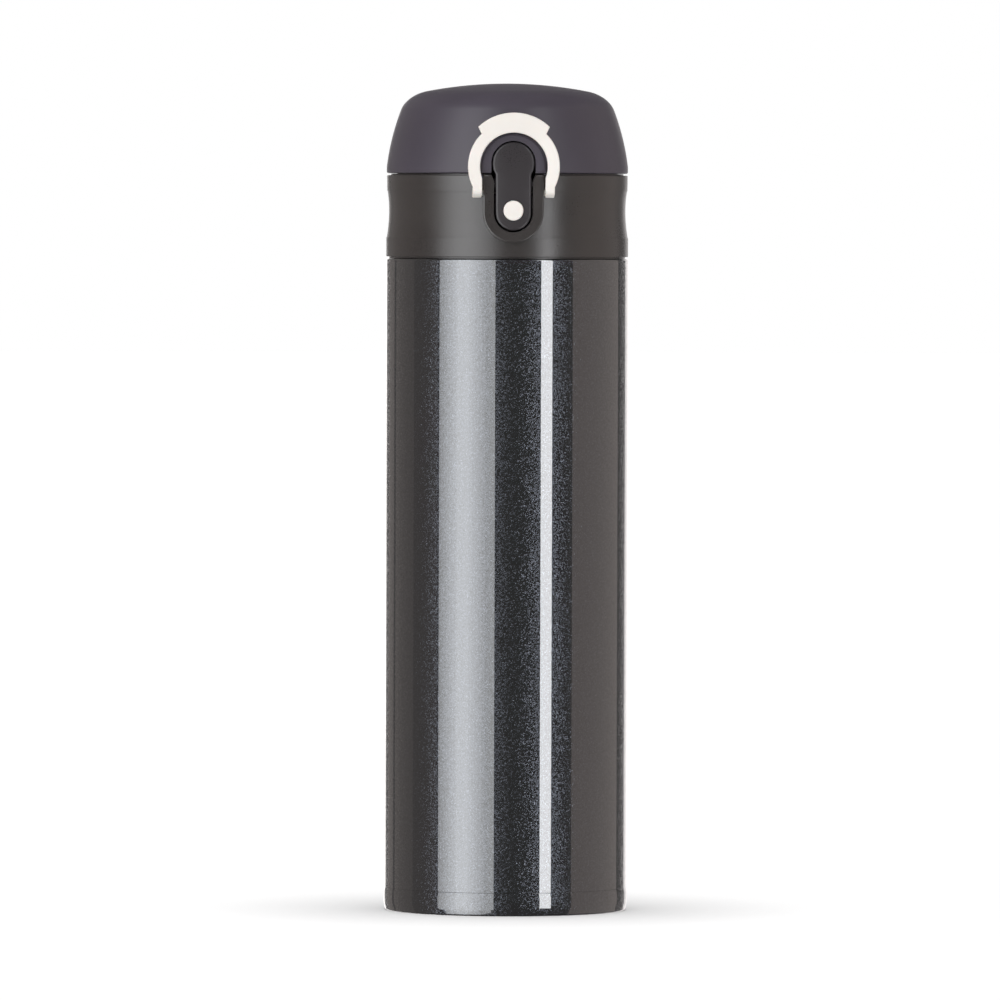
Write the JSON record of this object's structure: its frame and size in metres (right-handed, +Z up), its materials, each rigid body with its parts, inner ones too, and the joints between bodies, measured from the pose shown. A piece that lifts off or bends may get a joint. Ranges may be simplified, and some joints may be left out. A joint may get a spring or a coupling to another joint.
{
  "type": "vacuum flask",
  "caption": "Slim steel vacuum flask with a screw-on cap unit, a hinged flip lid, a rocking release button and a folding safety ring.",
  "frame": {"origin": "centre of the base, on the surface that the flask stands on", "axes": "+Z up the flask's axis, -Y towards the release button, +Y towards the lid hinge, +X to the right seen from the front"},
  "size_m": [0.0654, 0.0728, 0.222],
  "materials": {
    "body_paint": "gloss metallic anthracite with fine sparkle",
    "bare_steel": "fine brushed",
    "spring_steel": "bright drawn wire",
    "bright_foil": "bright wrinkled foil",
    "getter_metal": "sintered, dull",
    "lid_plastic": "soft matte purple-grey",
    "collar_plastic": "satin moulded, warm dark grey",
    "button_plastic": "satin moulded, near black",
    "inner_plastic": "smooth moulded, dark grey",
    "cream_plastic": "satin, warm white",
    "silicone": "soft matte translucent white"
  },
  "bodies": {
    "bottle": {"outer_shell": "body_paint", "base_cup": "body_paint", "base_disc": "bare_steel", "vacuum_seal_plug": "bare_steel", "threaded_neck": "bare_steel", "inner_bottom": "bare_steel", "inner_wall": "bare_steel", "inner_neck": "bare_steel", "reflective_foil": "bright_foil", "getter": "getter_metal"},
    "stopper_seal": {"stopper_gasket": "silicone"},
    "cap_unit": {"stopper_body": "inner_plastic", "collar_shell": "collar_plastic", "spout": "inner_plastic", "spout_gasket": "silicone", "hinge_pin": "bare_steel", "lid_spring": "spring_steel", "button_pivot_pin": "bare_steel", "button_spring": "spring_steel"},
    "button": {"release_button": "button_plastic", "button_dot": "cream_plastic"},
    "safety_ring": {"lock_ring": "cream_plastic"},
    "lid": {"lid_shell": "lid_plastic", "lid_liner": "inner_plastic", "gasket_holder": "inner_plastic", "lid_gasket": "silicone"}
  },
  "joints": [
    {"name": "cap_lift", "type": "slide", "parent": "bottle", "child": "stopper_seal", "axis": [0, 0, 1], "range_m": [0, 0.0151]},
    {"name": "cap_turn", "type": "hinge", "parent": "stopper_seal", "child": "cap_unit", "pos_m": [0, 0, 0.19], "axis": [0, 0, 1], "range_deg": [0, 1080]},
    {"name": "lid_open", "type": "hinge", "parent": "cap_unit", "child": "lid", "pos_m": [0, 0.0336, 0.19785], "axis": [-1, 0, 0], "range_deg": [0, 170]},
    {"name": "button_press", "type": "hinge", "parent": "cap_unit", "child": "button", "pos_m": [0, -0.0314, 0.1948], "axis": [1, 0, 0], "range_deg": [-8, 1], "stiffness_Nm_per_rad": 0.02, "springref_deg": -34.38},
    {"name": "ring_fold", "type": "hinge", "parent": "cap_unit", "child": "safety_ring", "pos_m": [0, -0.0327, 0.1926], "axis": [1, 0, 0], "range_deg": [-12, 120]}
  ],
  "couplings": [
    {"joint": "cap_lift", "follows": "cap_turn", "m_per_rad": 0.00079577}
  ]
}
